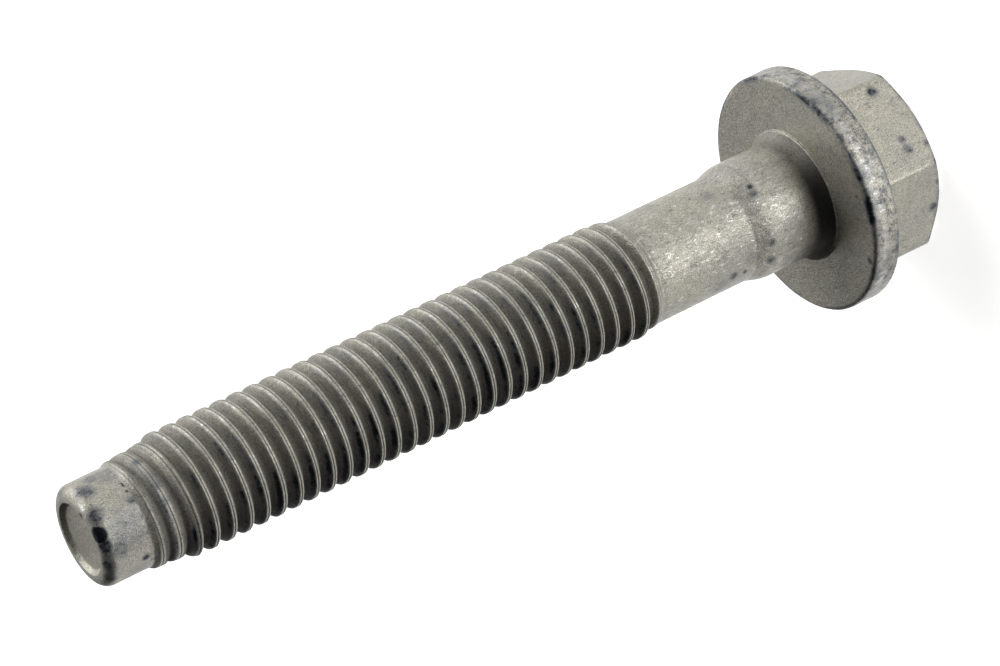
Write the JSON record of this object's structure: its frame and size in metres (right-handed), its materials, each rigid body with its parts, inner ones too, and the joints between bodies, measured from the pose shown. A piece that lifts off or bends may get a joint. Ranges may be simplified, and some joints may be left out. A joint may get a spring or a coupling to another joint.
{
  "type": "hexagon flange bolt",
  "caption": "Hexagon flange bolt with a rolled right-hand thread, smooth pilot tip with dished end, plain shank and thicker locating neck under the flange, in grey zinc-flake coated steel.",
  "frame": {"origin": "centre of the flat end of the hexagon, on which the bolt stands", "axes": "+Z along the bolt's axis, from the head to the tip; +X through a corner of the hexagon"},
  "size_m": [0.0244, 0.0244, 0.091],
  "materials": {
    "coated_steel": "satin"
  },
  "bodies": {
    "root": {"bolt": "coated_steel"}
  },
  "joints": []
}
